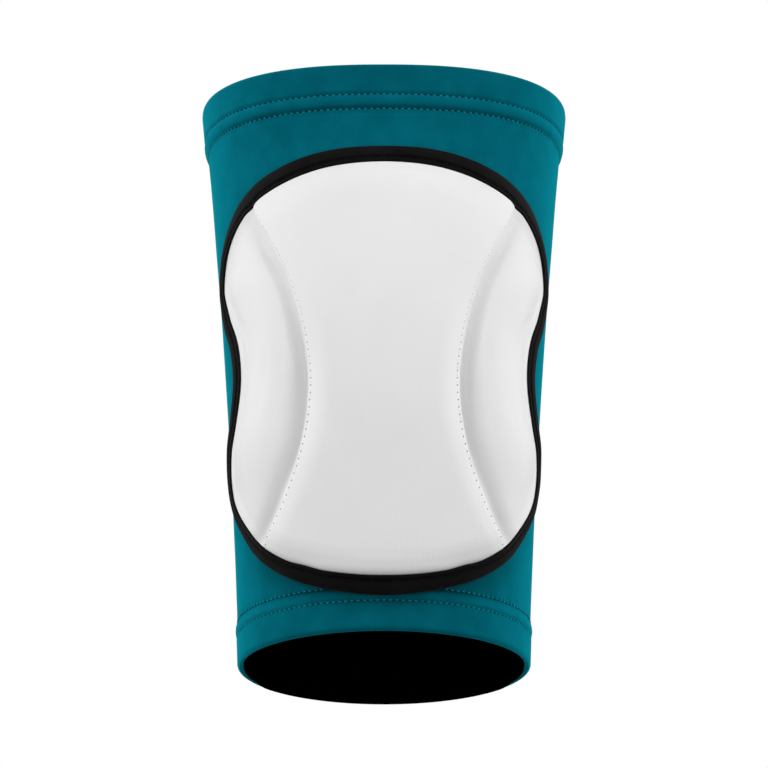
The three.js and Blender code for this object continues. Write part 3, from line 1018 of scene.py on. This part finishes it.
def bindingTube():
    columns = len(tapeSection(Vector((0, 0)), tape["width"]))
    bm = bmesh.new()
    paintedShadeAndTone = bm.verts.layers.float.new("paintedShadeAndTone")
    bmesh.ops.create_grid(bm, x_segments=columns - 1, y_segments=tape["steps"], size=0.5)
    cloth = bm.loops.layers.uv.new("cloth")
    placed = {}
    for vert in bm.verts:
        column = round((vert.co.x + 0.5) * (columns - 1))
        share = vert.co.y + 0.5
        share = round(share * tape["steps"]) / tape["steps"]
        middle = outlinePlace(share, 0)
        inwards, lift = tapeSection(middle, tapeWidth(share))[column]
        fromRow = inwards - tapeWidth(share) + tape["stitchFromInner"]
        if column > 3:
            lift += tape["wave"] * noiseAlong(middle, tape["waveLength"], 0)
        coarse = noiseAlong(middle, tape["roughLength"], inwards / 2)
        lift += tape["roughness"] * coarse * bump(fromRow, tape["roughReach"])
        placed[vert] = onFront(outlinePlace(share, inwards), lift)
        dark = tape["rowTone"] + tape["rowUneven"] * noiseAlong(middle, tape["rowLength"], inwards)
        vert[paintedShadeAndTone] = 1 - dark * bump(fromRow, tape["rowReach"])
        vert.co.x, vert.co.z = inwards, lift
    for face in bm.faces:
        for loop in face.loops:
            loop[cloth].uv = ((loop.vert.co.y + 0.5) * tape["clothLength"], loop.vert.co.x)
    for vert, spot in placed.items():
        vert.co = spot * metresPerMm
    bmesh.ops.remove_doubles(bm, verts=bm.verts, dist=0.00001)
    rim = [edge for edge in bm.edges if edge.is_boundary]
    bmesh.ops.bridge_loops(bm, edges=rim)
    bmesh.ops.recalc_face_normals(bm, faces=bm.faces)
    return objectFrom(bm, "edgeBinding", smooth=True)


def bindingStitches():
    matrices = []
    for number in range(tape["stitches"]):
        share = number / tape["stitches"]
        inwards = tapeWidth(share) - tape["stitchFromInner"]
        middle = outlinePlace(share, 0)
        lift = tapeHeight(middle, inwards) - tape["stitchSink"]
        place = onFront(outlinePlace(share, inwards), lift) * metresPerMm
        ahead = onFront(outlinePlace(share + 0.001, inwards), lift) * metresPerMm
        outward = (onFront(outlinePlace(share, inwards), lift + 1) * metresPerMm - place).normalized()
        matrices.append(stitchMatrix(place, ahead - place, outward, *tape["stitch"]))
    return sewn("bindingStitches", matrices)


seamThread = {
    "pitch": 2.7,
    "fromSeam": 1.3,
    "size": (1.5, 0.5, 0.4),  # length, width and height of a stitch
    # dark beads of painted shade in the needle holes: length, width and height
    "holeShade": (0.95, 0.7, 0.16),
    "sink": 0.05,
    "holeAtTop": 0.8,  # size of the painted hole shades near the top
}


# stitches, or dark beads of painted shade in the needle holes, along both edges of the centre panel, set on
# its finished surface
def seamStitches(panel, name, shift, size):
    bm = bmesh.new()
    bm.from_mesh(panel.data)
    surface = BVHTree.FromBMesh(bm)
    bm.free()
    steps = 2000
    shares = [mixed(upperCrossing[0], lowerCrossing[0], step / steps) for step in range(steps + 1)]
    places = [seamPlace(share, -seamThread["fromSeam"]) for share in shares]
    rows, run = [[]], shift * seamThread["pitch"]
    for before, place in zip(places, places[1:]):
        run += (place - before).length
        if run >= seamThread["pitch"]:
            run -= seamThread["pitch"]
            rows[0].append(place)
    rows.append([mirroredPlace(place) for place in rows[0]])
    matrices = []
    for row in rows:
        found = []
        for place in row:
            start = onFront(place, 30) * metresPerMm
            aim = (onFront(place, 0) * metresPerMm - start).normalized()
            spot, normal = surface.ray_cast(start, aim)[:2]
            if spot:
                scale = mixed(seamThread["holeAtTop"], 1, kneeShare(place)) if shift else 1
                found.append((spot, normal, scale))
        for number, (spot, normal, scale) in enumerate(found):
            after = found[min(number + 1, len(found) - 1)][0]
            before = found[max(number - 1, 0)][0]
            place = spot - normal * seamThread["sink"] * metresPerMm
            matrices.append(stitchMatrix(place, after - before, normal, *[scale * part for part in size]))
    return sewn(name, matrices)


# Materials

waveScale = 0.314  # of a wave texture that repeats at every unit


# knitted or woven cloth; the ribs run along the cloth map's second direction
def clothMaterial(name, values):
    material = bpy.data.materials.new(name)
    material.use_nodes = True
    nodes, links = material.node_tree.nodes, material.node_tree.links
    shader = nodes["Principled BSDF"]
    setInputs(shader, {
        "Roughness": values["roughness"],
        "Specular IOR Level": values["gloss"],
        "Sheen Weight": values["sheen"],
        "Sheen Roughness": values["sheenRoughness"],
        "Sheen Tint": values["sheenTint"],
    })

    cloth = nodes.new("ShaderNodeUVMap")
    cloth.uv_map = "cloth"
    ribs = addNode(nodes, "TexWave", {
        "Scale": waveScale / values["ribSpacing"],
        "Distortion": values["ribWander"],
        "Detail": 1,
        "Detail Scale": 0.6,
    })
    ribs.wave_type = "BANDS"
    ribs.bands_direction = values["ribDirection"]
    links.new(cloth.outputs["UV"], ribs.inputs["Vector"])

    place = nodes.new("ShaderNodeTexCoord")
    cloudy = addNode(nodes, "TexNoise", {"Scale": values["cloudScale"], "Detail": 4})
    links.new(place.outputs["Object"], cloudy.inputs["Vector"])
    fuzz = addNode(nodes, "TexNoise", {"Scale": values["fuzzScale"], "Detail": 2})
    links.new(place.outputs["Object"], fuzz.inputs["Vector"])

    tones = nodes.new("ShaderNodeValToRGB")
    tones.color_ramp.elements[0].position = 0.3
    tones.color_ramp.elements[1].position = 0.7
    tones.color_ramp.elements[0].color = (*values["darker"], 1)
    tones.color_ramp.elements[1].color = (*values["lighter"], 1)
    links.new(cloudy.outputs["Fac"], tones.inputs["Fac"])
    ribTone = addNode(nodes, "MapRange", {"To Min": 1 - values["ribTone"], "To Max": 1.0})
    links.new(ribs.outputs["Fac"], ribTone.inputs["Value"])
    toned = nodes.new("ShaderNodeMix")
    toned.data_type = "RGBA"
    toned.blend_type = "MULTIPLY"
    toned.inputs["Factor"].default_value = 1
    links.new(tones.outputs["Color"], toned.inputs["A"])
    links.new(ribTone.outputs["Result"], toned.inputs["B"])
    # a vertex attribute scales the colour: painted shade and painted highlights on the cloth, and a darker
    # uneven row along the tape's stitching
    shade = nodes.new("ShaderNodeAttribute")
    shade.attribute_name = "paintedShadeAndTone"
    shaded = nodes.new("ShaderNodeVectorMath")
    shaded.operation = "SCALE"
    links.new(toned.outputs["Result"], shaded.inputs["Vector"])
    links.new(shade.outputs["Fac"], shaded.inputs["Scale"])
    links.new(shaded.outputs["Vector"], shader.inputs["Base Color"])

    ribRelief = addNode(nodes, "Bump", {"Strength": values["ribRelief"], "Distance": 0.0001})
    links.new(ribs.outputs["Fac"], ribRelief.inputs["Height"])
    fuzzRelief = addNode(nodes, "Bump", {"Strength": values["fuzzRelief"], "Distance": 0.0002})
    links.new(fuzz.outputs["Fac"], fuzzRelief.inputs["Height"])
    links.new(ribRelief.outputs["Normal"], fuzzRelief.inputs["Normal"])
    links.new(fuzzRelief.outputs["Normal"], shader.inputs["Normal"])
    return material


jersey = {
    "darker": (0.0004, 0.088, 0.123),
    "lighter": (0.0008, 0.114, 0.158),
    "roughness": 0.85,
    "gloss": 0.0,
    "sheen": 0.8,
    "sheenRoughness": 0.45,
    "sheenTint": (0.01, 0.6, 0.75, 1),
    "ribDirection": "X",
    "ribSpacing": 0.7,
    "ribWander": 0.6,
    "ribTone": 0.025,
    "ribRelief": 0.25,
    "cloudScale": 110.0,
    "fuzzScale": 900.0,
    "fuzzRelief": 0.25,
}
whiteJersey = {
    **jersey,
    "darker": (0.80, 0.80, 0.80),
    "lighter": (0.83, 0.83, 0.83),
    "roughness": 0.8,
    "gloss": 0.1,
    "sheen": 0.1,
    "sheenTint": (1, 1, 1, 1),
    "ribSpacing": 1.0,
    "ribTone": 0.006,
    "ribRelief": 0.08,
    "cloudScale": 30.0,
}
blackTape = {
    **jersey,
    "darker": (0.0045, 0.0038, 0.004),
    "lighter": (0.007, 0.006, 0.0062),
    "roughness": 0.7,
    "gloss": 0.03,
    "sheen": 0.03,
    "sheenTint": (1, 1, 1, 1),
    "ribSpacing": 0.6,
    "ribTone": 0.15,
    "ribRelief": 0.3,
    "cloudScale": 90.0,
}
blackLining = {
    **jersey,
    "darker": (0.0004, 0.0004, 0.0004),
    "lighter": (0.0008, 0.0008, 0.0008),
    "roughness": 0.95,
    "sheen": 0.0,
    "sheenTint": (1, 1, 1, 1),
    "ribTone": 0.3,
}


thread = {"roughness": 0.55, "unevenScale": 600, "darkShare": 0.75}


def threadMaterial(name, color, gloss):
    material = bpy.data.materials.new(name)
    material.use_nodes = True
    nodes, links = material.node_tree.nodes, material.node_tree.links
    shader = nodes["Principled BSDF"]
    setInputs(shader, {"Roughness": thread["roughness"], "Specular IOR Level": gloss})
    place = nodes.new("ShaderNodeTexCoord")
    uneven = addNode(nodes, "TexNoise", {"Scale": thread["unevenScale"]})
    tones = nodes.new("ShaderNodeValToRGB")
    tones.color_ramp.elements[0].color = (*[thread["darkShare"] * part for part in color], 1)
    tones.color_ramp.elements[1].color = (*color, 1)
    links.new(place.outputs["Object"], uneven.inputs["Vector"])
    links.new(uneven.outputs["Fac"], tones.inputs["Fac"])
    links.new(tones.outputs["Color"], shader.inputs["Base Color"])
    return material


def finishPiece(piece, material, slot, *nodes):
    piece.data.materials.clear()
    piece.data.materials.append(material)
    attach(piece, "root")
    if nodes:
        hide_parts(*nodes)
    return piece


# Making it all

makeCamera()
makeRoom()
print("camera, room and lights made")

tealCloth = clothMaterial("tealJersey", jersey)
whiteCloth = clothMaterial("whiteJersey", whiteJersey)
tapeCloth = clothMaterial("blackTape", blackTape)
darkCloth = clothMaterial("blackLining", blackLining)
tealThread = threadMaterial("tealThread", (0.02, 0.27, 0.34), 0.05)
whiteThread = threadMaterial("whiteThread", (0.93, 0.93, 0.93), 0.3)
blackThread = threadMaterial("blackThread", (0.004, 0.004, 0.004), 0.05)
# dark beads that paint the shade in the needle holes
paintedHoleShade = threadMaterial("paintedHoleShade", (0.1, 0.1, 0.1), 0.0)
paintedTealHoleShade = threadMaterial("paintedTealHoleShade", (0.0003, 0.026, 0.038), 0.0)

sleeve = tubeRound("stretchSleeve", sleeveProfile(), sleeveCloth["steps"], sleeveEase, paintedSleeveShading)
lining = tubeRound("darkLining", liningProfile(), liningCloth["steps"], liningLip)
finishPiece(sleeve, tealCloth, "sleeve_fabric", "sleeve")
finishPiece(lining, darkCloth, "lining_fabric", "lining")
print("sleeve and lining made")

topCount, bottomCount = 185, 148
topHem = hemTube("topHemFold", leg["aboveKnee"], -1, hems["topHeight"], hems["topProud"], topCount)
bottomHem = hemTube(
    "bottomHemFold", -leg["belowKnee"], 1, hems["bottomHeight"], hems["bottomProud"], bottomCount)
finishPiece(topHem, tealCloth, "sleeve_fabric", "top_hem")
finishPiece(bottomHem, tealCloth, "sleeve_fabric", "bottom_hem")
topRows = leg["aboveKnee"], -1, hems["topProud"], topCount
bottomRows = -leg["belowKnee"], 1, hems["bottomProud"], bottomCount
# the hem holes are dark beads of painted shade
threads = ("Stitches", 0, hemFold["stitch"], tealThread), ("HoleShades", 0.5, hemFold["holeShade"], paintedTealHoleShade)
for kind, shift, size, material in threads:
    finishPiece(hemStitches("topHem" + kind, *topRows, shift, size), material, "sleeve_fabric")
    finishPiece(hemStitches("bottomHem" + kind, *bottomRows, shift, size), material, "sleeve_fabric")
print("hems made")

centerGrid = panels["centerColumns"], panels["centerRows"]
sideGrid = panels["sideColumns"], panels["sideRows"], panels["sideRounds"]
centerPanel = paddedPanel("centerPanel", centerPlace, centerTop, paintedCenterShading, *centerGrid)
rightPanel = paddedPanel("rightPanel", sidePlace, sideTop, paintedSideShading, *sideGrid)
leftPanel = paddedPanel("leftPanel", sidePlace, sideTop, paintedSideShading, *sideGrid, mirror=True)
padNodes = {"pad_center": centerPanel, "pad_side_right": rightPanel, "pad_side_left": leftPanel}
for node, panel in padNodes.items():
    finishPiece(panel, whiteCloth, "pad_fabric", node)
finishPiece(seamStitches(centerPanel, "seamStitches", 0, seamThread["size"]), whiteThread, "pad_fabric")
finishPiece(seamStitches(centerPanel, "seamHoleShades", 0.5, seamThread["holeShade"]), paintedHoleShade, "pad_fabric")
print("padded panels made")

binding = finishPiece(bindingTube(), tapeCloth, "binding_tape", "binding")
finishPiece(bindingStitches(), blackThread, "binding_tape")
print("binding made")
